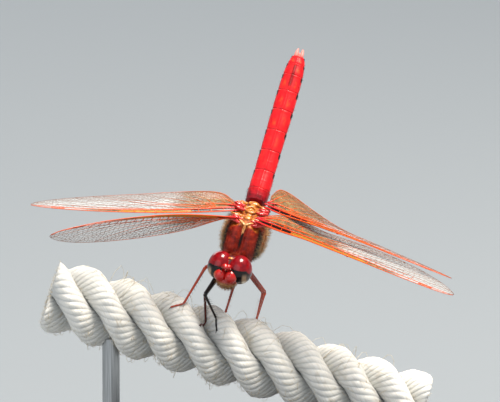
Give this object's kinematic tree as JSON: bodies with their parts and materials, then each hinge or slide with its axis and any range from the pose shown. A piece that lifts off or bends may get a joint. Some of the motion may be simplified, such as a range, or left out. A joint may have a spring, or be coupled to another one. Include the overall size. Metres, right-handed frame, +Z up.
{
  "type": "display model of a red meadowhawk dragonfly gripping a rope",
  "caption": "Life-size still dragonfly, abdomen raised and wings swept forward, gripping a short cut length of sloping laid rope on two rods over a round base.",
  "frame": {"origin": "centre of the underside of the round base", "axes": "+Z up; -Y is the side that the insect faces; +X to the insect's left, along the rope's slope seen from above"},
  "size_m": [0.06, 0.06, 0.06],
  "materials": {
    "eye": "glossy compound eye, cherry red over black and beige",
    "face": "smooth red cuticle",
    "thorax": "red-brown cuticle under pale hair",
    "crimson": "dark red cuticle",
    "scarlet": "scarlet cuticle, satin",
    "wing": "clear membrane on orange-red veins",
    "leg": "red-brown to black cuticle",
    "rope": "white three-strand rope",
    "rod": "brushed",
    "base": "satin black"
  },
  "bodies": {
    "root": {"abdomen_01": "crimson", "abdomen_02": "crimson", "abdomen_03": "scarlet", "abdomen_04": "scarlet", "abdomen_05": "scarlet", "abdomen_06": "scarlet", "abdomen_07": "scarlet", "abdomen_08": "scarlet", "abdomen_09": "scarlet", "abdomen_10": "scarlet", "antenna_left": "leg", "antenna_right": "leg", "cercus_left": "scarlet", "cercus_right": "scarlet", "epiproct": "scarlet", "eye_left": "eye", "eye_right": "eye", "face": "face", "frons": "face", "head": "face", "labium": "face", "leg_fore_left_femur": "leg", "leg_fore_left_tarsus": "leg", "leg_fore_left_tibia": "leg", "leg_fore_right_femur": "leg", "leg_fore_right_tarsus": "leg", "leg_fore_right_tibia": "leg", "leg_hind_left_femur": "leg", "leg_hind_left_tarsus": "leg", "leg_hind_left_tibia": "leg", "leg_hind_right_femur": "leg", "leg_hind_right_tarsus": "leg", "leg_hind_right_tibia": "leg", "leg_mid_left_femur": "leg", "leg_mid_left_tarsus": "leg", "leg_mid_left_tibia": "leg", "leg_mid_right_femur": "leg", "leg_mid_right_tarsus": "leg", "leg_mid_right_tibia": "leg", "perch_rope": "rope", "prothorax": "thorax", "stand_base": "base", "stand_rod_left": "rod", "stand_rod_right": "rod", "thorax": "thorax", "wing_fore_left": "wing", "wing_fore_right": "wing", "wing_hind_left": "wing", "wing_hind_right": "wing"}
  },
  "joints": []
}
